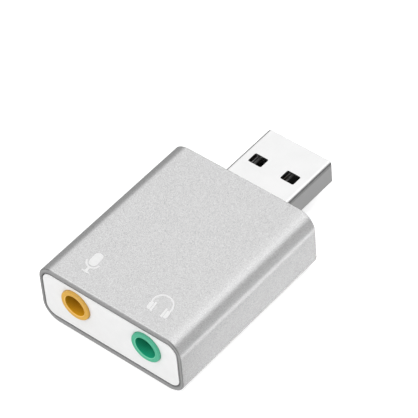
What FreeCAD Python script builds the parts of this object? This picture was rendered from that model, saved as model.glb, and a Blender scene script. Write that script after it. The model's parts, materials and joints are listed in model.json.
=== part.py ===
"""USB sound card: an extruded metal sleeve with two 3.5 mm jacks at one end and a USB-A plug at the other.

Millimetres. X runs across the sleeve, Y runs from the jack end to the plug's tip, and Z is up.
The origin is under the middle of the whole object, on the surface that the sleeve lies on.
"""

import FreeCAD
import Part
import math
import os

from FreeCAD import Vector

# Sleeve
sleeve_width = 26.8
sleeve_height = 11.1
sleeve_length = 30.6
sleeve_corner_radius = 3.0
flat_wall = 1.15
side_wall = 0.70
rim_chamfer = 0.15

# Board rails inside the sleeve
rail_depth = 0.9
rail_thickness = 0.6
rail_clearance = 0.05

# End plates
plate_thickness = 1.6
plate_clearance = 0.1
plate_back_chamfer = 0.3
plate_bridge = 0.545

# Circuit board
board_thickness = 1.2
board_side_gap = 0.1
board_end_gap = 0.1
board_corner_radius = 0.8

# Jacks, whose holes leave a bridge under the plate's top edge
jack_spacing = 13.3
jack_pair_offset = 0.3
jack_bore = 3.65
jack_nose_wall = 0.78
jack_nose_protrusion = 0.4
jack_nose_clearance = 0.05
jack_mouth_chamfer = 0.1
jack_nose_chamfer = 0.1
jack_seat_gap = 0.05
jack_block_length = 12.0
jack_side_wall = 0.7
jack_floor = 0.6
jack_front_wall = 1.4
jack_rear_wall = 1.0
jack_cavity_width = 5.0
jack_cavity_height = 3.8
jack_edge_chamfer = 0.35
peg_diameter = 1.0
peg_clearance = 0.05
peg_inset = 2.0

# Leaf springs of the jacks, each placed from the front or back wall of the cavity
spring_thickness = 0.2
spring_width = 1.8
spring_reach = 0.2
spring_tip_lift = 0.5
spring_root_length = 1.2
leg_width = 0.8
leg_clearance = 0.05
leg_floor_gap = 0.9
leg_hole_clearance = 0.12
jack_springs = {
    "sleeve_spring": {"side": -1, "wall": "front", "root": 0.3, "crown": 2.6, "tip": 3.4},
    "ring_spring": {"side": -1, "wall": "back", "root": 0.3, "crown": 3.5, "tip": 4.5},
    "tip_spring": {"side": 1, "wall": "back", "root": 6.6, "crown": 1.5, "tip": 0.3},
}

# USB-A plug
plug_width = 12.0
plug_height = 4.5
plug_axis_rise = 0.71
plug_exposed = 13.2
plug_clearance = 0.05
shell_length = 18.75
shell_thickness = 0.3
shell_corner_radius = 0.6
shell_tip_chamfer = 0.1
window_width = 2.5
window_length = 1.95
window_spacing = 6.14
window_from_tip = 5.25
window_corner_radius = 0.25
seam_gap = 0.06
seam_lock_length = 2.2
seam_lock_flare = 0.35
seam_lock_depth = 1.1
seam_lock_from_rear = 9.0
wing_reach = 1.3
wing_length = 2.0
wing_from_rear = 0.6
wing_leg_clearance = 0.1
tongue_gap = 1.95
tongue_recess = 0.4
tongue_nose_chamfer = 0.4
socket_depth = 11.0
insulator_clearance = 0.03

# USB contacts: the supply pair lies outside the data pair and reaches nearer to the tip
contact_width = 1.0
contact_thickness = 0.25
contact_proud = 0.04
contact_tail_length = 1.3
contact_bend_length = 0.5
supply_offset = 3.5
supply_setback = 1.2
data_offset = 1.0
data_setback = 2.2

# Parts on the board
chip_length = 8.65
chip_width = 3.9
chip_height = 1.5
chip_standoff = 0.1
chip_draft = 0.2
chip_dot_diameter = 0.8
chip_dot_depth = 0.08
chip_lead_count = 12
chip_lead_pitch = 0.635
chip_lead_width = 0.3
chip_lead_thickness = 0.15
chip_lead_reach = 1.05
chip_foot_length = 0.6

crystal_length = 5.0
crystal_width = 3.2
crystal_height = 1.2
crystal_corner_radius = 0.5
crystal_lid_margin = 0.25
crystal_lid_height = 0.25
chip_side_gap = 1.2

capacitor_diameter = 4.0
capacitor_height = 4.5
capacitor_base_size = 4.3
capacitor_base_height = 0.9
capacitor_base_chamfer = 0.9
capacitor_groove_depth = 0.18
capacitor_groove_width = 0.6
capacitor_edge_chamfer = 0.3
capacitor_pitch = 5.2

chip_part_length = 1.6
chip_part_width = 0.8
ceramic_height = 0.8
resistor_height = 0.45
chip_part_pitch = 1.3
chip_part_gap = 0.8
chip_part_edge = 0.08
ceramic_count = 5
resistor_count = 4

# Places along Y
total_length = jack_nose_protrusion + sleeve_length + plug_exposed
mouth_y = -total_length / 2
front_y = mouth_y + jack_nose_protrusion
back_y = front_y + sleeve_length
plug_tip_y = back_y + plug_exposed
shell_rear_y = plug_tip_y - shell_length
front_plate_back_y = front_y + plate_thickness
rear_plate_front_y = back_y - plate_thickness
block_front_y = front_plate_back_y + jack_seat_gap
block_back_y = block_front_y + jack_block_length
cavity_front_y = block_front_y + jack_front_wall
cavity_back_y = block_back_y - jack_rear_wall

# Places along Z and sizes across X
inner_width = sleeve_width - 2 * side_wall
inner_height = sleeve_height - 2 * flat_wall
inner_corner_radius = sleeve_corner_radius - flat_wall
sleeve_axis_height = sleeve_height / 2
plate_top = sleeve_height - flat_wall - plate_clearance
jack_nose = jack_bore + 2 * jack_nose_wall
jack_hole = jack_nose + 2 * jack_nose_clearance
jack_axis_height = plate_top - plate_bridge - jack_hole / 2
jack_block_width = jack_cavity_width + 2 * jack_side_wall
jack_block_half_height = jack_cavity_height / 2 + jack_floor
board_top = jack_axis_height - jack_block_half_height
board_bottom = board_top - board_thickness
plug_axis_height = board_top + plug_axis_rise
board_width = inner_width - 2 * board_side_gap
board_front_y = front_plate_back_y + board_end_gap
board_back_y = rear_plate_front_y - board_end_gap
jack_centres = {
    "mic": jack_pair_offset - jack_spacing / 2,
    "headphone": jack_pair_offset + jack_spacing / 2,
}
peg_places = (block_front_y + peg_inset, block_back_y - peg_inset)
shell_inner_width = plug_width - 2 * shell_thickness
shell_inner_height = plug_height - 2 * shell_thickness
shell_inner_radius = shell_corner_radius - shell_thickness
shell_ceiling = plug_axis_height + shell_inner_height / 2
tongue_top = shell_ceiling - tongue_gap
contact_top = tongue_top + contact_proud
contact_bottom = contact_top - contact_thickness
contacts = {
    "power": {"x": supply_offset, "setback": supply_setback},
    "data_minus": {"x": data_offset, "setback": data_setback},
    "data_plus": {"x": -data_offset, "setback": data_setback},
    "ground": {"x": -supply_offset, "setback": supply_setback},
}
wing_y = shell_rear_y + wing_from_rear
wing_half_span = plug_width / 2 + wing_reach
notch_front_y = shell_rear_y - plug_clearance
tail_front_y = shell_rear_y - contact_bend_length - contact_tail_length
chip_y = (block_back_y + tail_front_y) / 2
capacitor_y = (block_front_y + block_back_y) / 2
leg_bottom = flat_wall + leg_floor_gap


def box(x0, x1, y0, y1, z0, z1):
    """A box between two corners."""
    return Part.makeBox(x1 - x0, y1 - y0, z1 - z0, Vector(x0, y0, z0))


def rod(diameter, x, y0, y1, z):
    """A cylinder along Y."""
    return Part.makeCylinder(diameter / 2, y1 - y0, Vector(x, y0, z), Vector(0, 1, 0))


def post(diameter, x, y, z0, z1):
    """A cylinder along Z."""
    return Part.makeCylinder(diameter / 2, z1 - z0, Vector(x, y, z0))


def rounded_outline(width, height, radius):
    """A rounded rectangle's wire about the origin of the XY plane."""
    half_w, half_h = width / 2, height / 2
    flat_w, flat_h = half_w - radius, half_h - radius
    diagonal = radius * math.sqrt(0.5)
    edges = []
    for sx, sy in ((1, 1), (-1, 1), (-1, -1), (1, -1)):
        side_end = Vector(sx * half_w, sy * flat_h, 0)
        flat_end = Vector(sx * flat_w, sy * half_h, 0)
        middle = Vector(sx * (flat_w + diagonal), sy * (flat_h + diagonal), 0)
        first, last = (side_end, flat_end) if sx == sy else (flat_end, side_end)
        edges.append((first, middle, last))
    segments = []
    for (first, middle, last), (following, _, _) in zip(edges, edges[1:] + edges[:1]):
        segments.append(Part.Arc(first, middle, last).toShape())
        segments.append(Part.LineSegment(last, following).toShape())
    return Part.Wire(segments)


def bar(width, height, radius, y0, y1, z):
    """A bar of rounded rectangular section along Y, centred on x = 0 and z."""
    wire = rounded_outline(width, height, radius)
    wire.rotate(Vector(0, 0, 0), Vector(1, 0, 0), 90)
    wire.translate(Vector(0, y0, z))
    return Part.Face(wire).extrude(Vector(0, y1 - y0, 0))


def slab(width, length, radius, x, y, z0, z1):
    """A plate of rounded rectangular outline, centred on x and y."""
    wire = rounded_outline(width, length, radius)
    wire.translate(Vector(x, y, z0))
    return Part.Face(wire).extrude(Vector(0, 0, z1 - z0))


def polygon(corners):
    """A flat face with straight edges through the corners."""
    return Part.Face(Part.makePolygon(corners + corners[:1]))


def edges_at_y(shape, *places):
    """The edges of a shape that lie in the given planes across Y."""
    flat = [e for e in shape.Edges if e.BoundBox.YLength < 1e-6]
    return [e for e in flat if any(abs(e.BoundBox.YMin - y) < 1e-6 for y in places)]


def sleeve():
    """The extruded sleeve, with a rail pair down each side that stops short of both end plates."""
    outer = bar(sleeve_width, sleeve_height, sleeve_corner_radius, front_y, back_y, sleeve_axis_height)
    outer = outer.makeChamfer(rim_chamfer, edges_at_y(outer, front_y, back_y))
    inner = bar(inner_width, inner_height, inner_corner_radius, front_y, back_y, sleeve_axis_height)
    shape = outer.cut(inner)
    slot_bottom = board_bottom - rail_clearance
    slot_top = board_top + rail_clearance
    for side in (-1, 1):
        near = side * (inner_width / 2 - rail_depth)
        far = side * (inner_width / 2 + side_wall / 2)
        x0, x1 = min(near, far), max(near, far)
        for z0 in (slot_bottom - rail_thickness, slot_top):
            rail = box(x0, x1, front_plate_back_y, rear_plate_front_y, z0, z0 + rail_thickness)
            shape = shape.fuse(rail)
    return shape.removeSplitter()


def end_plate(outside_y, inside_y):
    """A blank end plate that drops into the sleeve's end and stops against the rails."""
    plate = bar(
        inner_width - 2 * plate_clearance,
        inner_height - 2 * plate_clearance,
        inner_corner_radius - plate_clearance,
        min(outside_y, inside_y),
        max(outside_y, inside_y),
        sleeve_axis_height,
    )
    return plate.makeChamfer(plate_back_chamfer, edges_at_y(plate, inside_y))


def jack_end_plate():
    """The plate with a round hole for each jack's nose."""
    plate = end_plate(front_y, front_plate_back_y)
    for x in jack_centres.values():
        hole = rod(jack_hole, x, mouth_y, block_front_y, jack_axis_height)
        plate = plate.cut(hole)
    return plate


def usb_end_plate():
    """The plate with the plug's rounded slot."""
    plate = end_plate(back_y, rear_plate_front_y)
    slot = bar(
        plug_width + 2 * plug_clearance,
        plug_height + 2 * plug_clearance,
        shell_corner_radius + plug_clearance,
        rear_plate_front_y,
        back_y,
        plug_axis_height,
    )
    return plate.cut(slot)


def spring_y(spring, point):
    """Where a named point of a spring lies along Y."""
    if spring["wall"] == "front":
        return cavity_front_y + spring[point]
    return cavity_back_y - spring[point]


def spring_bend_y(spring):
    """Where a spring's flat root ends and its bow starts."""
    root_y = spring_y(spring, "root")
    return root_y + math.copysign(spring_root_length, spring_y(spring, "tip") - root_y)


def spring_leg_y(spring):
    """Where the middle of a spring's leg lies along Y."""
    return (spring_y(spring, "root") + spring_bend_y(spring)) / 2


def leg_box(axis_x, spring, margin, z0, z1):
    """The leg of a jack's spring, grown by a margin across."""
    y = spring_leg_y(spring)
    outer = axis_x + spring["side"] * jack_cavity_width / 2
    inner = outer - spring["side"] * spring_thickness
    x0, x1 = min(outer, inner) - margin, max(outer, inner) + margin
    return box(x0, x1, y - leg_width / 2 - margin, y + leg_width / 2 + margin, z0, z1)


def jack_body(axis_x):
    """A jack's moulded body: a nose through the plate, and a block with a stepped cavity for its springs."""
    nose = rod(jack_nose, axis_x, mouth_y, block_front_y, jack_axis_height)
    nose = nose.makeChamfer(jack_nose_chamfer, edges_at_y(nose, mouth_y))
    block = box(
        axis_x - jack_block_width / 2,
        axis_x + jack_block_width / 2,
        block_front_y,
        block_back_y,
        board_top,
        jack_axis_height + jack_block_half_height,
    )
    top = block.BoundBox.ZMax
    long_edges = [e for e in block.Edges if e.BoundBox.YLength > 1e-6 and e.BoundBox.ZMin > top - 1e-6]
    block = block.makeChamfer(jack_edge_chamfer, long_edges)
    body = nose.fuse(block)
    for y in peg_places:
        body = body.fuse(post(peg_diameter, axis_x, y, board_bottom, board_top))
    body = body.cut(rod(jack_bore, axis_x, mouth_y, block_back_y, jack_axis_height))
    mouth = Part.makeCone(
        jack_bore / 2 + jack_mouth_chamfer,
        jack_bore / 2,
        jack_mouth_chamfer,
        Vector(axis_x, mouth_y, jack_axis_height),
        Vector(0, 1, 0),
    )
    body = body.cut(mouth)
    cavity = box(
        axis_x - jack_cavity_width / 2,
        axis_x + jack_cavity_width / 2,
        cavity_front_y,
        cavity_back_y,
        jack_axis_height - jack_cavity_height / 2,
        jack_axis_height + jack_cavity_height / 2,
    )
    body = body.cut(cavity)
    for spring in jack_springs.values():
        body = body.cut(leg_box(axis_x, spring, leg_clearance, board_top, jack_axis_height))
    return body.removeSplitter()


def tangent_arc(start, end):
    """The arc between two points of one height that runs along Y at its start."""
    chord = end - start
    radius = chord.dot(chord) / (2 * chord.x)
    centre = start + Vector(radius, 0, 0)
    outward = ((start + end) * 0.5 - centre).normalize()
    return Part.Arc(start, centre + outward * abs(radius), end).toShape()


def spring_bow(bend, crown, tip):
    """The edges of a leaf that leaves its root straight and is nearest to the jack's axis at its crown."""
    halfway = (bend + crown) * 0.5
    return [tangent_arc(bend, halfway), tangent_arc(crown, halfway), tangent_arc(crown, tip)]


def jack_spring(axis_x, spring):
    """A leaf spring that lies on the cavity's side wall, bows in to the plug's path and has a leg down."""
    side = spring["side"]
    wall_x = axis_x + side * jack_cavity_width / 2
    crown_x = axis_x + side * (jack_bore / 2 - spring_reach + spring_thickness)
    z = jack_axis_height - spring_width / 2
    root = Vector(wall_x, spring_y(spring, "root"), z)
    bend = Vector(wall_x, spring_bend_y(spring), z)
    crown = Vector(crown_x, spring_y(spring, "crown"), z)
    tip = Vector(crown_x + side * spring_tip_lift, spring_y(spring, "tip"), z)
    inward = Vector(-side * spring_thickness, 0, 0)
    edges = [Part.LineSegment(root, bend).toShape()]
    edges += spring_bow(bend, crown, tip)
    edges.append(Part.LineSegment(tip, tip + inward).toShape())
    edges += reversed(spring_bow(bend + inward, crown + inward, tip + inward))
    edges.append(Part.LineSegment(bend + inward, root + inward).toShape())
    edges.append(Part.LineSegment(root + inward, root).toShape())
    leaf = Part.Face(Part.Wire(edges)).extrude(Vector(0, 0, spring_width))
    return leaf.fuse(leg_box(axis_x, spring, 0, leg_bottom, jack_axis_height)).removeSplitter()


def seam_cut(first, last):
    """A narrow cut through the shell's floor between two points of its seam."""
    run = last - first
    across = Vector(-run.y, run.x, 0).normalize() * (seam_gap / 2)
    along = Vector(run).normalize() * (seam_gap / 2)
    start = first - along
    end = last + along
    face = polygon([start + across, end + across, end - across, start - across])
    return face.extrude(Vector(0, 0, shell_thickness + shell_corner_radius))


def shell_seam():
    """The cuts along the folded shell's seam, with a dovetail lock part way."""
    z = plug_axis_height - plug_height / 2 - shell_corner_radius / 2
    lock_y0 = shell_rear_y + seam_lock_from_rear
    lock_y1 = lock_y0 + seam_lock_length
    points = [
        Vector(0, shell_rear_y, z),
        Vector(0, lock_y0, z),
        Vector(-seam_lock_depth, lock_y0 - seam_lock_flare, z),
        Vector(-seam_lock_depth, lock_y1 + seam_lock_flare, z),
        Vector(0, lock_y1, z),
        Vector(0, plug_tip_y, z),
    ]
    return [seam_cut(first, last) for first, last in zip(points, points[1:])]


def shell_wing(side):
    """A flange from the shell's side that lies on the board, with a leg down through it."""
    root, end = side * (plug_width / 2 - shell_thickness), side * wing_half_span
    leg_inner = side * (wing_half_span - shell_thickness)
    y0, y1 = wing_y, wing_y + wing_length
    flange = box(min(root, end), max(root, end), y0, y1, board_top, board_top + shell_thickness)
    leg = box(min(leg_inner, end), max(leg_inner, end), y0, y1, leg_bottom, board_top + shell_thickness)
    return flange.fuse(leg)


def usb_plug_shell():
    """The plug's folded sheet shell, with latch windows above and below, a locked seam and two wings."""
    outer = bar(plug_width, plug_height, shell_corner_radius, shell_rear_y, plug_tip_y, plug_axis_height)
    outer = outer.makeChamfer(shell_tip_chamfer, edges_at_y(outer, plug_tip_y))
    for side in (-1, 1):
        outer = outer.fuse(shell_wing(side))
    shape = outer.cut(
        bar(
            shell_inner_width,
            shell_inner_height,
            shell_inner_radius,
            shell_rear_y,
            plug_tip_y,
            plug_axis_height,
        )
    )
    window_y = plug_tip_y - window_from_tip - window_length / 2
    reach = plug_height / 2 + shell_thickness
    for side in (-1, 1):
        window = slab(
            window_width,
            window_length,
            window_corner_radius,
            side * window_spacing / 2,
            window_y,
            plug_axis_height - reach,
            plug_axis_height + reach,
        )
        shape = shape.cut(window)
    for cut in shell_seam():
        shape = shape.cut(cut)
    return shape.removeSplitter()


def usb_contact(name):
    """One of the plug's contacts: a strip along the tongue whose tail steps down on to the board."""
    x0 = contacts[name]["x"] - contact_width / 2
    front = plug_tip_y - contacts[name]["setback"]
    bend = shell_rear_y - contact_bend_length
    drop = contact_bottom - board_top
    upper = [
        Vector(x0, front, contact_top),
        Vector(x0, shell_rear_y, contact_top),
        Vector(x0, bend, contact_top - drop),
        Vector(x0, tail_front_y, contact_top - drop),
    ]
    down = Vector(0, 0, -contact_thickness)
    lower = [point + down for point in reversed(upper)]
    return polygon(upper + lower).extrude(Vector(contact_width, 0, 0))


def usb_plug_insulator():
    """The plug's moulded core: a block that fills the shell's rear and a tongue under the socket space."""
    tip_y = plug_tip_y - tongue_recess
    socket_y = plug_tip_y - socket_depth
    block = bar(
        shell_inner_width - 2 * insulator_clearance,
        shell_inner_height - 2 * insulator_clearance,
        shell_inner_radius,
        shell_rear_y,
        tip_y,
        plug_axis_height,
    )
    half = plug_width / 2
    core = block.cut(box(-half, half, socket_y, plug_tip_y, tongue_top, tongue_top + plug_height))
    nose = [e for e in edges_at_y(core, tip_y) if e.BoundBox.ZMin > tongue_top - 1e-6]
    core = core.makeChamfer(tongue_nose_chamfer, nose)
    for name in contacts:
        core = core.cut(usb_contact(name))
    return core


def circuit_board():
    """The board, notched round the plug, slotted for the legs and drilled for the jacks' pegs."""
    length = board_back_y - board_front_y
    middle = (board_front_y + board_back_y) / 2
    board = slab(board_width, length, board_corner_radius, 0, middle, board_bottom, board_top)
    notch_half = plug_width / 2 + plug_clearance
    board = board.cut(box(-notch_half, notch_half, notch_front_y, board_back_y, board_bottom, board_top))
    for x in jack_centres.values():
        for spring in jack_springs.values():
            board = board.cut(leg_box(x, spring, leg_hole_clearance, board_bottom, board_top))
        for y in peg_places:
            board = board.cut(post(peg_diameter + 2 * peg_clearance, x, y, board_bottom, board_top))
    leg_x = wing_half_span - shell_thickness / 2
    half_slot = shell_thickness / 2 + wing_leg_clearance
    for side in (-1, 1):
        slot = box(
            side * leg_x - half_slot,
            side * leg_x + half_slot,
            wing_y - wing_leg_clearance,
            wing_y + wing_length + wing_leg_clearance,
            board_bottom,
            board_top,
        )
        board = board.cut(slot)
    return board


def chip_body():
    """The audio chip's moulded package, drafted above and below its leads, with a dot for its first pin."""
    z0 = board_top + chip_standoff
    z1 = z0 + chip_height
    half_x, half_y = chip_length / 2, chip_width / 2
    sections = []
    for z, inset in ((z0, chip_draft), ((z0 + z1) / 2, 0), (z1, chip_draft)):
        x, y = half_x - inset, half_y - inset
        corners = [Vector(a * x, chip_y + b * y, z) for a, b in ((-1, -1), (1, -1), (1, 1), (-1, 1))]
        sections.append(Part.makePolygon(corners + corners[:1]))
    body = Part.makeLoft(sections, True, True)
    dot_x = chip_draft + chip_dot_diameter - half_x
    dot_y = chip_y - half_y + chip_draft + chip_dot_diameter
    return body.cut(post(chip_dot_diameter, dot_x, dot_y, z1 - chip_dot_depth, z1))


def chip_leads():
    """The chip's gull-wing leads, two rows of separate strips."""
    z_exit = board_top + chip_standoff + chip_height / 2
    first_x = -(chip_lead_count - 1) * chip_lead_pitch / 2 - chip_lead_width / 2
    bend = chip_lead_reach - chip_foot_length
    half = chip_lead_thickness / 2
    leads = []
    for side in (-1, 1):
        edge = chip_y + side * chip_width / 2
        for n in range(chip_lead_count):
            x = first_x + n * chip_lead_pitch
            path = [
                (0, z_exit - half),
                (bend - chip_lead_thickness, z_exit - half),
                (bend - chip_lead_thickness, board_top),
                (chip_lead_reach, board_top),
                (chip_lead_reach, board_top + chip_lead_thickness),
                (bend, board_top + chip_lead_thickness),
                (bend, z_exit + half),
                (0, z_exit + half),
            ]
            corners = [Vector(x, edge + side * out, z) for out, z in path]
            leads.append(polygon(corners).extrude(Vector(chip_lead_width, 0, 0)))
    return Part.makeCompound(leads)


def crystal():
    """The clock crystal's metal can, with a raised lid."""
    x = chip_length / 2 + chip_side_gap + crystal_width / 2
    rim = board_top + crystal_height
    base = slab(crystal_width, crystal_length, crystal_corner_radius, x, chip_y, board_top, rim)
    lid = slab(
        crystal_width - 2 * crystal_lid_margin,
        crystal_length - 2 * crystal_lid_margin,
        crystal_corner_radius - crystal_lid_margin,
        x,
        chip_y,
        rim,
        rim + crystal_lid_height,
    )
    return base.fuse(lid).removeSplitter()


def capacitor_base(y):
    """A capacitor's moulded base between the jacks, with the two corners cut that mark its polarity."""
    half = capacitor_base_size / 2
    flat = half - capacitor_base_chamfer
    outline = [(-half, -half), (half, -half), (half, flat), (flat, half), (-flat, half), (-half, flat)]
    corners = [Vector(jack_pair_offset + dx, y + dy, board_top) for dx, dy in outline]
    return polygon(corners).extrude(Vector(0, 0, capacitor_base_height))


def capacitor_can(y):
    """A capacitor's drawn can, turned with its crimp groove and sloped top edge."""
    radius = capacitor_diameter / 2
    groove_low = capacitor_base_height + capacitor_groove_width
    groove_high = groove_low + capacitor_groove_width
    profile = [
        (0, capacitor_base_height),
        (radius, capacitor_base_height),
        (radius, groove_low),
        (radius - capacitor_groove_depth, (groove_low + groove_high) / 2),
        (radius, groove_high),
        (radius, capacitor_height - capacitor_edge_chamfer),
        (radius - capacitor_edge_chamfer, capacitor_height),
        (0, capacitor_height),
    ]
    can = polygon([Vector(r, 0, z) for r, z in profile]).revolve(Vector(0, 0, 0), Vector(0, 0, 1), 360)
    can.translate(Vector(jack_pair_offset, y, board_top))
    return can


def chip_part_row(x, count, height):
    """A row of small surface-mount parts along Y, each lying across the board."""
    parts = []
    for n in range(count):
        y = chip_y + (n - (count - 1) / 2) * chip_part_pitch
        part = box(
            x - chip_part_length / 2,
            x + chip_part_length / 2,
            y - chip_part_width / 2,
            y + chip_part_width / 2,
            board_top,
            board_top + height,
        )
        top_edges = [e for e in part.Edges if e.BoundBox.ZMin > board_top]
        parts.append(part.makeChamfer(chip_part_edge, top_edges))
    return Part.makeCompound(parts)


def ceramic_capacitors():
    """The ceramic capacitors to the left of the chip."""
    x = -(chip_length / 2 + chip_side_gap + chip_part_length / 2)
    return chip_part_row(x, ceramic_count, ceramic_height)


def chip_resistors():
    """The resistors beside the ceramic capacitors."""
    x = -(chip_length / 2 + chip_side_gap + chip_part_length * 3 / 2 + chip_part_gap)
    return chip_part_row(x, resistor_count, resistor_height)


def all_pieces():
    """Every piece by its name."""
    pieces = {
        "housing_sleeve": sleeve(),
        "jack_end_plate": jack_end_plate(),
        "usb_end_plate": usb_end_plate(),
        "circuit_board": circuit_board(),
        "usb_plug_shell": usb_plug_shell(),
        "usb_plug_insulator": usb_plug_insulator(),
        "audio_chip": chip_body(),
        "audio_chip_leads": chip_leads(),
        "clock_crystal": crystal(),
        "ceramic_capacitors": ceramic_capacitors(),
        "chip_resistors": chip_resistors(),
    }
    for jack, x in jack_centres.items():
        pieces[f"{jack}_jack_body"] = jack_body(x)
        for name, spring in jack_springs.items():
            pieces[f"{jack}_jack_{name}"] = jack_spring(x, spring)
    for name in contacts:
        pieces[f"usb_contact_{name}"] = usb_contact(name)
    for label, side in (("front", -1), ("rear", 1)):
        y = capacitor_y + side * capacitor_pitch / 2
        pieces[f"{label}_capacitor_base"] = capacitor_base(y)
        pieces[f"{label}_capacitor_can"] = capacitor_can(y)
    return pieces


def main():
    os.makedirs("parts", exist_ok=True)
    for name, shape in all_pieces().items():
        shape.exportStep(f"parts/{name}.step")
        print(f"{name}: solids {len(shape.Solids)}, volume {shape.Volume:.2f}, valid {shape.isValid()}")


main()
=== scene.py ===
import json
import math

import bmesh
import bpy
from mathutils import Matrix, Vector


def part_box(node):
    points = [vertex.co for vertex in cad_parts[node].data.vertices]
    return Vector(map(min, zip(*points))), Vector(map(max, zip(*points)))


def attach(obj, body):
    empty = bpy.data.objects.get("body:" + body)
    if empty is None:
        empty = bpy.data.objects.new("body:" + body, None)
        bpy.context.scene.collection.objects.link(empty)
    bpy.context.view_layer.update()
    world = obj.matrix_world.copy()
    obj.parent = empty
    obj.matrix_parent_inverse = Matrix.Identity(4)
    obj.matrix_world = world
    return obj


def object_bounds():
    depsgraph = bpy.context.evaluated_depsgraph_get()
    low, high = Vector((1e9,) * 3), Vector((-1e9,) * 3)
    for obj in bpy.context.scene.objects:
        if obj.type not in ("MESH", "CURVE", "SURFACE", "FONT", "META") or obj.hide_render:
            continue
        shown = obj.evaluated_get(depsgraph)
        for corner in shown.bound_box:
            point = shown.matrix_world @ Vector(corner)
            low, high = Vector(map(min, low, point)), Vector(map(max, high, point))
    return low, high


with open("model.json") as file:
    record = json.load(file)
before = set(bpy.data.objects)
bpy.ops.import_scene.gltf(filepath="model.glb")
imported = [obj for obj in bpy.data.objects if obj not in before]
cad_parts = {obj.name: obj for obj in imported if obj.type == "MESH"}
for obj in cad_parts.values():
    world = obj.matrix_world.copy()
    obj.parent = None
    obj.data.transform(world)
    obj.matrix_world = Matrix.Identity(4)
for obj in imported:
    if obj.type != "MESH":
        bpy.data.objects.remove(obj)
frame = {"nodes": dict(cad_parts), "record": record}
cad_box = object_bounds()

MM = 0.001
BODY = "root"

# Camera, found from the photograph, in millimetres of the part's frame; its clipping range in metres
CAMERA_PLACE = (195.272, -204.919, 309.867)
CAMERA_RIGHT = (0.76905, 0.63595, -0.06431)
CAMERA_UP = (-0.42891, 0.58803, 0.68576)
CAMERA_SENSOR = 36.0
CAMERA_LENS = 244.33
CAMERA_CLIP = (0.01, 10.0)

# Studio, in metres and watts: floor, the sky's levels by the height of a direction on the left and on the
# right, how the two halves meet by its X, and three soft panels
FLOOR_SIZE = 3.0
FLOOR_DROP = 0.02 * MM
SKY_SHADES = (
    (-1.00, 0.55),
    (-0.70, 0.55),
    (-0.50, 0.45),
    (-0.30, 0.26),
    (0.25, 0.24),
    (0.42, 0.55),
    (0.58, 1.55),
    (0.72, 1.45),
    (0.86, 1.60),
    (1.00, 1.30),
)
SKY_SHADES_RIGHT = (
    (-1.00, 0.26),
    (-0.73, 0.26),
    (-0.62, 1.05),
    (-0.49, 1.05),
    (-0.33, 0.20),
    (0.34, 0.18),
    (0.50, 0.55),
    (0.66, 1.68),
    (0.78, 1.88),
    (0.90, 1.88),
    (1.00, 1.30),
)
SKY_TURN = (-0.1, 0.3)
FRONT_PLACE = (-0.30, -0.46, 0.32)
FRONT_SIZE = (0.3, 0.3)
FRONT_POWER = 0.4
SIDE_PLACE = (0.60, 0.12, 0.12)
SIDE_SIZE = (0.4, 0.4)
SIDE_POWER = 2.0
CARD_PLACE = (0.0944, 0.0, 0.0001)
CARD_SIZE = (0.16, 0.044)
CARD_POWER = 0.078

# Grains of the finishes, in millimetres, and how far a rolled or sawn grain is drawn out
SKIN_GRAIN = 0.09
MOULDED_CLOUD = 1.4
ROLLED_GRAIN = 0.08
ROLLED_CLOUD = 3.0
ROLLED_DEPTH = 0.0006
DRAWN_ALONG_Y = (1.0, 0.04, 1.0)
SAWN_ACROSS = (0.06, 1.0, 1.0)

# The sleeve's cut ends, in millimetres: walls across and in height, inner corner, width of the painted
# shade along the inner edge, how far along the sleeve the cut itself and the painted shade on its outer
# edge run, and the grey levels of both painted shades
RIM_WALLS = (0.70, 1.15)
RIM_CORNER = 1.85
RIM_SHADE = 0.35
RIM_DEPTH = 0.01
RIM_EDGE = 0.08
# Grey levels of the painted shade at the wall's inner and outer edges
RIM_INNER_SHADE_TONE = 0.14
RIM_OUTER_SHADE_TONE = 0.24

# The sleeve's faces: grey levels by the blasted grain, and a cloudy veil over them with its largest share
BLAST_TONES = ((0.32, 0.315), (0.50, 0.465), (0.68, 0.605))
VEIL_TONE = 0.44
VEIL_SHARE = 0.10

# Jack noses, in millimetres: wall, bevels, which carry a painted highlight at the mouth and painted shade at
# the outer edge, soft borders between tones, radius that the ring of tones covers; and the share of
# the bore's colour in the cloudy places
JACK_WALL = 0.76
JACK_BEVEL = 0.1
JACK_SOFT = 0.02
JACK_REACH = 5.0
JACK_CLOUD_SHARE = 0.16

# Plug, in millimetres: painted shade under its upper bends, with its places as shares of a drop, painted
# glints under its windows, with theirs as shares of the windows' spacing, the contacts' nickel painted dark
# as shade, and gold tips of the contacts
BEND_DROP = 2.0
BEND_SHADES = ((0.14, 0.00), (0.20, 1.00), (0.31, 1.00), (0.50, 0.00))
BEND_SHADE_TONE = 0.38
WINDOW_SPACING = 6.14
WINDOW_GLINTS = (
    (0.150, 0.00),
    (0.166, 1.00),
    (0.178, 1.00),
    (0.196, 0.10),
    (0.212, 0.10),
    (0.228, 0.48),
    (0.246, 0.48),
    (0.305, 0.00),
)
GLINTS_FROM_TIP = (3.0, 7.0)
GLINT_ON_CORE = 0.80
GLINT_ON_NICKEL = 0.90
NICKEL_SHADE_TONE = 0.10
GOLD_LENGTH = 3.2
GOLD_FADE = 0.3

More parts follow.
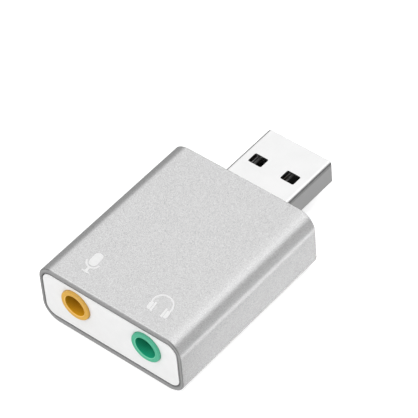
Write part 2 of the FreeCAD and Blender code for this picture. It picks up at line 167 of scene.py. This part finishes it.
# Printed pictograms on the sleeve's top, in millimetres, with arcs in steps of degrees and slants as shares
# of the height; y counts from the jack end
PRINT_HEIGHT = 0.012
PRINT_WELD = 1e-5
ARC_STEP = 6.0
MIC_X = -6.75
MIC_SLANT = 0.094
MIC_CAPSULE_WIDTH = 1.49
MIC_CAPSULE_Y = (4.20, 6.76)
MIC_CAPSULE_CORNER = 0.69
MIC_CRADLE_RADIUS = 1.28
MIC_CRADLE_STROKE = 0.27
MIC_CRADLE_Y = 4.96
MIC_CRADLE_TILT = 7.0
MIC_STEM_WIDTH = 0.41
MIC_STEM_FLARE = 0.70
MIC_FOOT_WIDTH = 1.38
MIC_FOOT_Y = (2.76, 2.97)
PHONES_X = 6.49
PHONES_SLANT = 0.155
PHONES_BAND_RADIUS = 1.845
PHONES_BAND_STROKE = 0.27
PHONES_BAND_Y = 4.51
PHONES_PAD = (0.82, 1.17)
PHONES_PAD_Y = (2.63, 4.42)
PHONES_PAD_CORNER = 0.14
PHONES_CUP = (1.22, 1.88)
PHONES_CUP_Y = (2.75, 4.17)
PHONES_CUP_CORNER = 0.44

# Sockets of the node that mixes colours: factor, first and second colour, and the mixed colour
MIX_INPUTS = (0, 6, 7)
MIX_OUTPUT = 2

sleeve_low, sleeve_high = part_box("housing_sleeve")
plug_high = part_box("usb_plug_shell")[1]


def put(tree, kind, inputs=None, **settings):
    """Adds a shader node: an input given as a socket is linked, and any other value is set on it."""
    made = tree.nodes.new(kind)
    for name, value in settings.items():
        setattr(made, name, value)
    for name, value in (inputs or {}).items():
        if isinstance(value, bpy.types.NodeSocket):
            tree.links.new(value, made.inputs[name])
        else:
            made.inputs[name].default_value = value
    return made


def grey(level):
    """A neutral colour."""
    return (level, level, level, 1.0)


def greys(stops):
    """Stops of a colour ramp, from places and grey levels."""
    return [(position, grey(level)) for position, level in stops]


def colour(red, green, blue):
    """A linear colour."""
    return (red, green, blue, 1.0)


def place(tree, stretch=(1.0, 1.0, 1.0)):
    """The place on the object in metres of its own frame, stretched along each axis."""
    here = put(tree, "ShaderNodeTexCoord").outputs["Object"]
    return put(tree, "ShaderNodeMapping", {"Vector": here, "Scale": stretch}).outputs["Vector"]


def place_along(tree, axis):
    """The place along one axis, in metres."""
    return put(tree, "ShaderNodeSeparateXYZ", {"Vector": place(tree)}).outputs[axis]


def grain(tree, size, detail=2.0, stretch=(1.0, 1.0, 1.0)):
    """Noise from 0 to 1 whose grains measure about the given size in millimetres."""
    inputs = {"Vector": place(tree, stretch), "Scale": 1.0 / (size * MM), "Detail": detail}
    return put(tree, "ShaderNodeTexNoise", inputs).outputs["Fac"]


def shades(tree, factor, stops):
    """A colour that runs through the stops, which are places from 0 to 1 with their colours."""
    ramp = put(tree, "ShaderNodeValToRGB", {"Fac": factor})
    points = ramp.color_ramp.elements
    while len(points) < len(stops):
        points.new(1.0)
    for point, (position, tone) in zip(points, stops):
        point.position = position
        point.color = tone
    return ramp.outputs["Color"]


def span(tree, factor, low, high, start=0.3, end=0.7):
    """A number that runs from low to high as the factor runs from start to end."""
    inputs = {"Value": factor, "From Min": start, "From Max": end, "To Min": low, "To Max": high}
    return put(tree, "ShaderNodeMapRange", inputs).outputs["Result"]


def blend(tree, factor, first, second):
    """The first colour where the factor is 0 and the second where it is 1."""
    inputs = dict(zip(MIX_INPUTS, (factor, first, second)))
    return put(tree, "ShaderNodeMix", inputs, data_type="RGBA").outputs[MIX_OUTPUT]


def math_node(tree, operation, first, second=0.0):
    """One sum on two numbers or sockets."""
    return put(tree, "ShaderNodeMath", {0: first, 1: second}, operation=operation).outputs["Value"]


def vector_node(tree, operation, first, second=(0.0, 0.0, 0.0)):
    """One sum on two vectors or sockets."""
    return put(tree, "ShaderNodeVectorMath", {0: first, 1: second}, operation=operation).outputs["Vector"]


def relief(tree, height, depth):
    """A bumped normal, with the depth in millimetres."""
    return put(tree, "ShaderNodeBump", {"Height": height, "Distance": depth * MM}).outputs["Normal"]


def material(name, fixed=None):
    """An empty procedural material and its shader, with the inputs that are the same all over."""
    made = bpy.data.materials.new(name)
    made.use_nodes = True
    tree = made.node_tree
    tree.nodes.clear()
    shader = put(tree, "ShaderNodeBsdfPrincipled", fixed)
    put(tree, "ShaderNodeOutputMaterial", {"Surface": shader.outputs["BSDF"]})
    return made, tree, shader


def feed(tree, shader, tone, rough, normal=None):
    """Links colour, roughness and relief to the shader."""
    tree.links.new(tone, shader.inputs["Base Color"])
    tree.links.new(rough, shader.inputs["Roughness"])
    if normal is not None:
        tree.links.new(normal, shader.inputs["Normal"])


def from_axis(tree, spot):
    """Distance in metres from the line along Y through a spot."""
    here = put(tree, "ShaderNodeTexCoord").outputs["Object"]
    inputs = {"Vector": here, "Location": (-spot[0], 0.0, -spot[2]), "Scale": (1.0, 0.0, 1.0)}
    across = put(tree, "ShaderNodeMapping", inputs).outputs["Vector"]
    return put(tree, "ShaderNodeVectorMath", {0: across}, operation="LENGTH").outputs["Value"]


def sleeve_ends(tree, depth):
    """1 on the sleeve's two cut ends, to a depth in millimetres, and 0 elsewhere."""
    middle = (sleeve_low.y + sleeve_high.y) / 2
    half = (sleeve_high.y - sleeve_low.y) / 2 - depth * MM
    offset = math_node(tree, "SUBTRACT", place_along(tree, "Y"), middle)
    from_middle = math_node(tree, "ABSOLUTE", offset)
    return math_node(tree, "GREATER_THAN", from_middle, half)


def past_rim_shade(tree):
    """0 on the painted shade at the sleeve's inner wall edge, all round, and 1 a little further out."""
    middle = (sleeve_low + sleeve_high) / 2
    half = (sleeve_high - sleeve_low) / 2
    straight_x = half.x - (RIM_WALLS[0] + RIM_CORNER) * MM
    straight_z = half.z - (RIM_WALLS[1] + RIM_CORNER) * MM
    from_middle = vector_node(tree, "ABSOLUTE", vector_node(tree, "SUBTRACT", place(tree), middle))
    past = vector_node(tree, "SUBTRACT", from_middle, (straight_x, 2 * half.y, straight_z))
    past_corner = vector_node(tree, "MAXIMUM", past)
    reach = put(tree, "ShaderNodeVectorMath", {0: past_corner}, operation="LENGTH").outputs["Value"]
    return span(tree, reach, 0.0, 1.0, RIM_CORNER * MM, (RIM_CORNER + RIM_SHADE) * MM)


def anodised_aluminium():
    """Sand-blasted and clear-anodised metal; its sawn ends carry painted shade along both edges of the wall.
    """
    made, tree, shader = material("anodised_aluminium", {"Metallic": 0.6})
    blast = grain(tree, size=0.085)
    cloud = grain(tree, size=2.2)
    matt = shades(tree, blast, greys(BLAST_TONES))
    veiled = blend(tree, span(tree, cloud, low=0.0, high=VEIL_SHARE), matt, grey(VEIL_TONE))
    saw = grain(tree, size=0.05, stretch=SAWN_ACROSS)
    cut = shades(tree, saw, greys(((0.35, 0.37), (0.65, 0.46))))
    # Painted shade along the wall's inner edge, where it meets the end plate, and along its broken outer
    # edge
    rim = blend(tree, past_rim_shade(tree), grey(RIM_INNER_SHADE_TONE), cut)
    edged = blend(tree, sleeve_ends(tree, RIM_EDGE), veiled, grey(RIM_OUTER_SHADE_TONE))
    tone = blend(tree, sleeve_ends(tree, RIM_DEPTH), edged, rim)
    rough = span(tree, blast, low=0.22, high=0.26)
    feed(tree, shader, tone, rough, relief(tree, blast, depth=0.0005))
    return made


def moulded_plastic(name, low, high, roughness, depth=0.002):
    """Moulded plastic between two near shades, with a fine spark-eroded skin."""
    made, tree, shader = material(name)
    cloud = grain(tree, MOULDED_CLOUD, detail=3.0)
    skin = grain(tree, SKIN_GRAIN)
    tone = shades(tree, cloud, ((0.3, low), (0.7, high)))
    rough = span(tree, skin, roughness - 0.05, roughness + 0.05)
    feed(tree, shader, tone, rough, relief(tree, skin, depth))
    return made


def jack_plastic(name, jack, face, bore, roof, bevel, edge):
    """A jack moulding: deep colour in its bore, painted shade in its roof, a painted highlight on the bevel
    at its mouth, and painted shade on its outer edge.
    """
    made, tree, shader = material(name, {"Specular IOR Level": 0.03})
    radius = math_node(tree, "DIVIDE", from_axis(tree, jack["pos_m"]), JACK_REACH * MM)
    mouth = jack["dims"]["r_mm"] + JACK_SOFT
    rims = (mouth, mouth + JACK_BEVEL, mouth + JACK_WALL - JACK_BEVEL, mouth + JACK_WALL)
    rings = [(0.0, bore)]
    for rim, before, after in zip(rims, (bore, bevel, face, edge), (bevel, face, edge, face)):
        rings.append(((rim - JACK_SOFT) / JACK_REACH, before))
        rings.append(((rim + JACK_SOFT) / JACK_REACH, after))
    cloud = grain(tree, size=0.9, detail=3.0)
    skin = grain(tree, SKIN_GRAIN)
    axis = jack["pos_m"][2]
    # Painted shade: towards the top of the bore the colour runs to the roof's dark tone
    rise = span(tree, place_along(tree, "Z"), 0.0, 1.0, axis - mouth * MM, axis + mouth * MM)
    inside = math_node(tree, "LESS_THAN", radius, mouth / JACK_REACH)
    tone = blend(tree, math_node(tree, "MULTIPLY", inside, rise), shades(tree, radius, rings), roof)
    shaded = blend(tree, span(tree, cloud, low=0.0, high=JACK_CLOUD_SHARE), tone, bore)
    rough = math_node(tree, "MAXIMUM", span(tree, skin, low=0.28, high=0.40), inside)
    feed(tree, shader, shaded, rough, relief(tree, skin, depth=0.0015))
    return made


def sheet_metal(name, low, high, roughness):
    """Plated metal between two near shades, with an even fine grain."""
    made, tree, shader = material(name, {"Metallic": 1.0})
    fine = grain(tree, ROLLED_GRAIN)
    cloud = grain(tree, ROLLED_CLOUD)
    tone = shades(tree, cloud, ((0.3, low), (0.7, high)))
    rough = span(tree, fine, roughness - 0.04, roughness + 0.04)
    feed(tree, shader, tone, rough, relief(tree, fine, ROLLED_DEPTH))
    return made


def plated_steel():
    """The plug's rolled and plated sheet, with painted shade just under its upper bends."""
    made, tree, shader = material("plated_steel", {"Metallic": 1.0})
    lines = grain(tree, ROLLED_GRAIN, stretch=DRAWN_ALONG_Y)
    cloud = grain(tree, ROLLED_CLOUD)
    sheet = shades(tree, cloud, greys(((0.3, 0.65), (0.7, 0.67))))
    # Painted shade: a darker band just under the plug's upper bends
    drop = span(tree, place_along(tree, "Z"), 0.0, 1.0, plug_high.z, plug_high.z - BEND_DROP * MM)
    bend = shades(tree, drop, greys(BEND_SHADES))
    tone = blend(tree, bend, sheet, grey(BEND_SHADE_TONE))
    rough = span(tree, lines, low=0.30, high=0.38)
    feed(tree, shader, tone, rough, relief(tree, lines, depth=0.0002))
    return made


def painted_window_glints(tree):
    """1 on the two painted glints that lie under each of the plug's windows, and 0 elsewhere."""
    windows = math_node(tree, "DIVIDE", place_along(tree, "X"), WINDOW_SPACING * MM)
    lines = shades(tree, math_node(tree, "FRACT", windows), greys(WINDOW_GLINTS))
    near, far = (plug_high.y - reach * MM for reach in GLINTS_FROM_TIP)
    offset = math_node(tree, "SUBTRACT", place_along(tree, "Y"), (near + far) / 2)
    beside = math_node(tree, "LESS_THAN", math_node(tree, "ABSOLUTE", offset), (near - far) / 2)
    return math_node(tree, "MULTIPLY", lines, beside)


def core_plastic():
    """The plug's black core, with painted glints under the windows."""
    made, tree, shader = material("black_plastic")
    cloud = grain(tree, MOULDED_CLOUD, detail=3.0)
    skin = grain(tree, SKIN_GRAIN)
    black = shades(tree, cloud, greys(((0.3, 0.004), (0.7, 0.012))))
    # Painted glints on the black core under the windows
    tone = blend(tree, painted_window_glints(tree), black, grey(GLINT_ON_CORE))
    rough = span(tree, skin, low=0.29, high=0.39)
    feed(tree, shader, tone, rough, relief(tree, skin, depth=0.004))
    return made


def contact_plate():
    """The plug's contacts: gold on their mating tips, and nickel behind, painted dark as shade, with painted
    glints under the windows.
    """
    made, tree, shader = material("gold_plate", {"Metallic": 1.0})
    lines = grain(tree, ROLLED_GRAIN, stretch=DRAWN_ALONG_Y)
    cloud = grain(tree, ROLLED_CLOUD)
    gold = shades(tree, cloud, ((0.3, colour(0.66, 0.52, 0.31)), (0.7, colour(0.78, 0.62, 0.38))))
    # Painted shade: the nickel behind the gold is dark, with painted glints under the windows
    nickel = blend(tree, painted_window_glints(tree), grey(NICKEL_SHADE_TONE), grey(GLINT_ON_NICKEL))
    start = plug_high.y - GOLD_LENGTH * MM
    tips = span(tree, place_along(tree, "Y"), 0.0, 1.0, start - GOLD_FADE * MM, start)
    rough = span(tree, lines, low=0.18, high=0.26)
    feed(tree, shader, blend(tree, tips, nickel, gold), rough, relief(tree, lines, ROLLED_DEPTH))
    return made


def board_laminate():
    """Glass-cloth laminate under a green solder mask."""
    made, tree, shader = material("board_laminate")
    warp = grain(tree, size=0.3, detail=1.0, stretch=(1.0, 0.08, 1.0))
    weft = grain(tree, size=0.3, detail=1.0, stretch=(0.08, 1.0, 1.0))
    weave = math_node(tree, "MULTIPLY", warp, weft)
    tones = ((0.15, colour(0.010, 0.10, 0.035)), (0.40, colour(0.020, 0.16, 0.060)))
    rough = span(tree, weave, low=0.28, high=0.40, start=0.1, end=0.4)
    feed(tree, shader, shades(tree, weave, tones), rough, relief(tree, weave, depth=0.01))
    return made


def printing_ink():
    """Matt white screen-printing ink, a little thin in places."""
    made, tree, shader = material("printing_ink")
    thin = grain(tree, size=0.25, detail=3.0)
    mesh_marks = grain(tree, size=0.06)
    tone = shades(tree, thin, greys(((0.28, 0.575), (0.45, 0.615), (0.70, 0.635))))
    rough = span(tree, thin, low=0.50, high=0.62)
    feed(tree, shader, tone, rough, relief(tree, mesh_marks, depth=0.002))
    return made


def floor_paper():
    """Seamless white paper."""
    made, tree, shader = material("floor_paper", {"Emission Color": grey(1.0), "Emission Strength": 0.55})
    fibre = grain(tree, size=1.5, detail=4.0)
    tone = shades(tree, fibre, greys(((0.3, 0.62), (0.7, 0.65))))
    feed(tree, shader, tone, span(tree, fibre, low=0.85, high=0.95))
    return made


def make_materials():
    """Each of the record's material slots with its finish."""
    jacks = {mount["name"]: mount for mount in frame["record"]["mounts"]}
    # Each jack's roof and outer edge carry painted shade, and the bevel at its mouth a painted highlight
    orange = jack_plastic(
        "orange_plastic",
        jacks["mic_jack"],
        face=colour(0.65, 0.385, 0.085),
        bore=colour(0.74, 0.35, 0.003),
        roof=colour(0.155, 0.095, 0.001),
        bevel=colour(0.90, 0.57, 0.18),
        edge=colour(0.57, 0.35, 0.10),
    )
    green = jack_plastic(
        "green_plastic",
        jacks["headphone_jack"],
        face=colour(0.10, 0.43, 0.275),
        bore=colour(0.008, 0.43, 0.24),
        roof=colour(0.0015, 0.11, 0.05),
        bevel=colour(0.22, 0.66, 0.45),
        edge=colour(0.10, 0.38, 0.255),
    )
    return {
        "anodised_aluminium": anodised_aluminium(),
        "white_plastic": moulded_plastic("white_plastic", grey(0.785), grey(0.81), roughness=0.42),
        "board_laminate": board_laminate(),
        "plated_steel": plated_steel(),
        "black_plastic": core_plastic(),
        "chip_epoxy": moulded_plastic("chip_epoxy", grey(0.012), grey(0.022), roughness=0.55, depth=0.006),
        "tinned_copper": sheet_metal("tinned_copper", grey(0.62), grey(0.74), roughness=0.34),
        "crystal_steel": sheet_metal("crystal_steel", grey(0.66), grey(0.74), roughness=0.24),
        "ceramic": moulded_plastic(
            "ceramic", colour(0.42, 0.29, 0.17), colour(0.52, 0.37, 0.22), roughness=0.50
        ),
        "resistor_film": moulded_plastic("resistor_film", grey(0.012), grey(0.03), roughness=0.30),
        "orange_plastic": orange,
        "green_plastic": green,
        "spring_bronze": sheet_metal(
            "spring_bronze", colour(0.60, 0.40, 0.20), colour(0.72, 0.50, 0.27), roughness=0.30
        ),
        "gold_plate": contact_plate(),
        "capacitor_plastic": moulded_plastic("capacitor_plastic", grey(0.015), grey(0.03), roughness=0.45),
        "capacitor_aluminium": sheet_metal("capacitor_aluminium", grey(0.62), grey(0.72), roughness=0.30),
        "printing_ink": printing_ink(),
    }


def dress_nodes(materials):
    """Gives every node of the frame the finish of its material slot."""
    for node in frame["nodes"].values():
        slot = node.material_slots[0]
        slot.material = materials[slot.material.name.split(".")[0]]


def arc(centre, radius, start, end):
    """Points along an arc, between two angles in degrees from +X."""
    steps = max(2, math.ceil(abs(end - start) / ARC_STEP))
    turns = [math.radians(start + (end - start) * i / steps) for i in range(steps + 1)]
    return [(centre[0] + radius * math.cos(t), centre[1] + radius * math.sin(t)) for t in turns]


def rounded_box(xs, ys, corners):
    """An outline with its own radius at each corner: right top, left top, left bottom, right bottom."""
    places = ((xs[1], ys[1], -1, -1), (xs[0], ys[1], 1, -1), (xs[0], ys[0], 1, 1), (xs[1], ys[0], -1, 1))
    outline = []
    for quarter, ((x, y, inward_x, inward_y), radius) in enumerate(zip(places, corners)):
        centre = (x + inward_x * radius, y + inward_y * radius)
        outline += arc(centre, radius, quarter * 90, quarter * 90 + 90)
    return outline


def crossing(first, first_radius, second, second_radius):
    """Angles at two circles' centres to their crossing on the left of the way from first to second."""
    gap = math.dist(first, second)
    heading = math.atan2(second[1] - first[1], second[0] - first[0])
    at_first = math.acos((first_radius**2 + gap**2 - second_radius**2) / (2 * first_radius * gap))
    at_second = math.acos((second_radius**2 + gap**2 - first_radius**2) / (2 * second_radius * gap))
    return math.degrees(heading + at_first), math.degrees(heading + math.pi - at_second)


def ring_stroke(centre, radius, stroke, start, end):
    """The outline of a drawn arc, from its outer radius inward."""
    return arc(centre, radius, start, end) + arc(centre, radius - stroke, end, start)


def slanted(outlines, slant, level):
    """Outlines that lean to the left, by a share of the height above a level."""
    return [[(x - slant * (y - level), y) for x, y in outline] for outline in outlines]


def mic_outlines():
    """A studio microphone: capsule, cradle, stem and foot."""
    half = MIC_CAPSULE_WIDTH / 2
    capsule = rounded_box((MIC_X - half, MIC_X + half), MIC_CAPSULE_Y, (MIC_CAPSULE_CORNER,) * 4)
    centre = (MIC_X, MIC_CRADLE_Y)
    cradle = ring_stroke(
        centre, MIC_CRADLE_RADIUS, MIC_CRADLE_STROKE, 180 + MIC_CRADLE_TILT, 360 - MIC_CRADLE_TILT
    )
    stem_top = MIC_CRADLE_Y - MIC_CRADLE_RADIUS
    right_half = [
        (MIC_FOOT_WIDTH / 2, MIC_FOOT_Y[0]),
        (MIC_FOOT_WIDTH / 2, MIC_FOOT_Y[1]),
        (MIC_STEM_FLARE / 2, MIC_FOOT_Y[1]),
        (MIC_STEM_WIDTH / 2, MIC_FOOT_Y[1] + MIC_STEM_WIDTH / 2),
        (MIC_STEM_WIDTH / 2, stem_top),
    ]
    stand = [(MIC_X + x, y) for x, y in right_half] + [(MIC_X - x, y) for x, y in reversed(right_half)]
    return slanted([capsule, cradle, stand], MIC_SLANT, MIC_CRADLE_Y)


def headphone_outlines():
    """Headphones seen from the front: a band that runs into its two cups, and a pad inside each cup."""
    hub = (0.0, PHONES_BAND_Y)
    inner_radius = PHONES_BAND_RADIUS - PHONES_BAND_STROKE
    inside, outside = PHONES_CUP
    low, high = PHONES_CUP_Y
    corner = PHONES_CUP_CORNER
    shoulder = (outside - corner, high - corner)
    inner_turn, inner_end = crossing(hub, inner_radius, shoulder, corner)
    outer_turn, outer_end = crossing(hub, PHONES_BAND_RADIUS, shoulder, corner)
    right_half = (
        arc(hub, inner_radius, 90, inner_turn)
        + arc(shoulder, corner, inner_end, 90)[1:]
        + arc((inside + PHONES_PAD_CORNER, high - PHONES_PAD_CORNER), PHONES_PAD_CORNER, 90, 180)
        + arc((inside + PHONES_PAD_CORNER, low + PHONES_PAD_CORNER), PHONES_PAD_CORNER, 180, 270)
        + arc((outside - corner, low + corner), corner, 270, 360)
        + arc(shoulder, corner, 0, outer_end)
        + arc(hub, PHONES_BAND_RADIUS, outer_turn, 90)[1:]
    )
    left_half = [(-x, y) for x, y in reversed(right_half[1:-1])]
    outlines = [[(PHONES_X + x, y) for x, y in right_half + left_half]]
    for side in (-1, 1):
        pad_x = sorted(PHONES_X + side * x for x in PHONES_PAD)
        outlines.append(rounded_box(pad_x, PHONES_PAD_Y, (PHONES_PAD_CORNER,) * 4))
    return slanted(outlines, PHONES_SLANT, PHONES_BAND_Y)


def printed(name, outlines, ink):
    """A thin layer of ink on the sleeve's top, from closed outlines in millimetres."""
    mesh = bpy.data.meshes.new(name)
    layer = bmesh.new()
    for outline in outlines:
        corners = [layer.verts.new((x * MM, sleeve_low.y + y * MM, sleeve_high.z)) for x, y in outline]
        face = layer.faces.new(corners)
        raised = bmesh.ops.extrude_face_region(layer, geom=[face], use_keep_orig=True)
        lifted = [part for part in raised["geom"] if isinstance(part, bmesh.types.BMVert)]
        bmesh.ops.translate(layer, verts=lifted, vec=(0, 0, PRINT_HEIGHT * MM))
    bmesh.ops.remove_doubles(layer, verts=layer.verts, dist=PRINT_WELD * MM)
    bmesh.ops.recalc_face_normals(layer, faces=layer.faces)
    layer.to_mesh(mesh)
    layer.free()
    mesh.materials.append(ink)
    piece = bpy.data.objects.new(name, mesh)
    bpy.context.scene.collection.objects.link(piece)
    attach(piece, BODY)


def make_camera():
    """The camera that took the photograph, as its frame was found from the part's own sizes."""
    data = bpy.data.cameras.new("photo_camera")
    data.sensor_width = CAMERA_SENSOR
    data.lens = CAMERA_LENS
    data.clip_start, data.clip_end = CAMERA_CLIP
    camera = bpy.data.objects.new("photo_camera", data)
    right = Vector(CAMERA_RIGHT).normalized()
    back = right.cross(Vector(CAMERA_UP)).normalized()
    up = back.cross(right)
    turn = Matrix((right, up, back)).transposed().to_4x4()
    camera.matrix_world = Matrix.Translation(Vector(CAMERA_PLACE) * MM) @ turn
    bpy.context.scene.collection.objects.link(camera)
    bpy.context.scene.camera = camera


def make_floor():
    """A plain pale floor under the part."""
    mesh = bpy.data.meshes.new("floor")
    half = FLOOR_SIZE / 2
    corners = [(-half, -half, 0.0), (half, -half, 0.0), (half, half, 0.0), (-half, half, 0.0)]
    mesh.from_pydata(corners, [], [(0, 1, 2, 3)])
    mesh.materials.append(floor_paper())
    floor = bpy.data.objects.new("floor", mesh)
    floor.location.z = cad_box[0].z - FLOOR_DROP
    floor.visible_glossy = False
    bpy.context.scene.collection.objects.link(floor)


def make_sky():
    """A bright tent that darkens to the horizon; the camera itself sees plain white beyond the floor."""
    world = bpy.data.worlds.new("studio")
    world.use_nodes = True
    tree = world.node_tree
    tree.nodes.clear()
    towards = put(tree, "ShaderNodeTexCoord").outputs["Generated"]
    heading = put(tree, "ShaderNodeSeparateXYZ", {"Vector": towards}).outputs
    height = span(tree, heading["Z"], 0.0, 1.0, -1.0, 1.0)
    brightest = max(level for _, level in SKY_SHADES + SKY_SHADES_RIGHT)
    halves = []
    for levels in (SKY_SHADES, SKY_SHADES_RIGHT):
        stops = greys(((z + 1) / 2, level / brightest) for z, level in levels)
        halves.append(shades(tree, height, stops))
    tent = blend(tree, span(tree, heading["X"], 0.0, 1.0, *SKY_TURN), *halves)
    glow = put(tree, "ShaderNodeBackground", {"Color": tent, "Strength": brightest})
    plain = put(tree, "ShaderNodeBackground", {"Color": grey(1.0), "Strength": 1.0})
    seen = put(tree, "ShaderNodeLightPath").outputs["Is Camera Ray"]
    mixed = put(tree, "ShaderNodeMixShader", {0: seen, 1: glow.outputs[0], 2: plain.outputs[0]})
    put(tree, "ShaderNodeOutputWorld", {"Surface": mixed.outputs[0]})
    bpy.context.scene.world = world


def make_light(name, spot, facing, size, power, mirrored):
    """A soft panel that is or isn't mirrored in the part's metal, and isn't seen by the camera."""
    data = bpy.data.lights.new(name, "AREA")
    data.shape = "RECTANGLE"
    data.size, data.size_y = size
    data.energy = power
    lamp = bpy.data.objects.new(name, data)
    lamp.location = spot
    lamp.rotation_mode = "QUATERNION"
    lamp.rotation_quaternion = Vector(facing).to_track_quat("-Z", "Y")
    lamp.visible_glossy = mirrored
    lamp.visible_camera = False
    bpy.context.scene.collection.objects.link(lamp)


def make_studio():
    """Light, floor and plain picture colours."""
    make_sky()
    make_floor()
    make_light("front_panel", FRONT_PLACE, -Vector(FRONT_PLACE), FRONT_SIZE, FRONT_POWER, mirrored=True)
    make_light("side_panel", SIDE_PLACE, -Vector(SIDE_PLACE), SIDE_SIZE, SIDE_POWER, mirrored=False)
    make_light("floor_card", CARD_PLACE, (0.0, 0.0, 1.0), CARD_SIZE, CARD_POWER, mirrored=False)
    bpy.context.scene.view_settings.view_transform = "Standard"


make_camera()
make_studio()
finishes = make_materials()
dress_nodes(finishes)
printed("mic_pictogram", mic_outlines(), finishes["printing_ink"])
printed("headphone_pictogram", headphone_outlines(), finishes["printing_ink"])
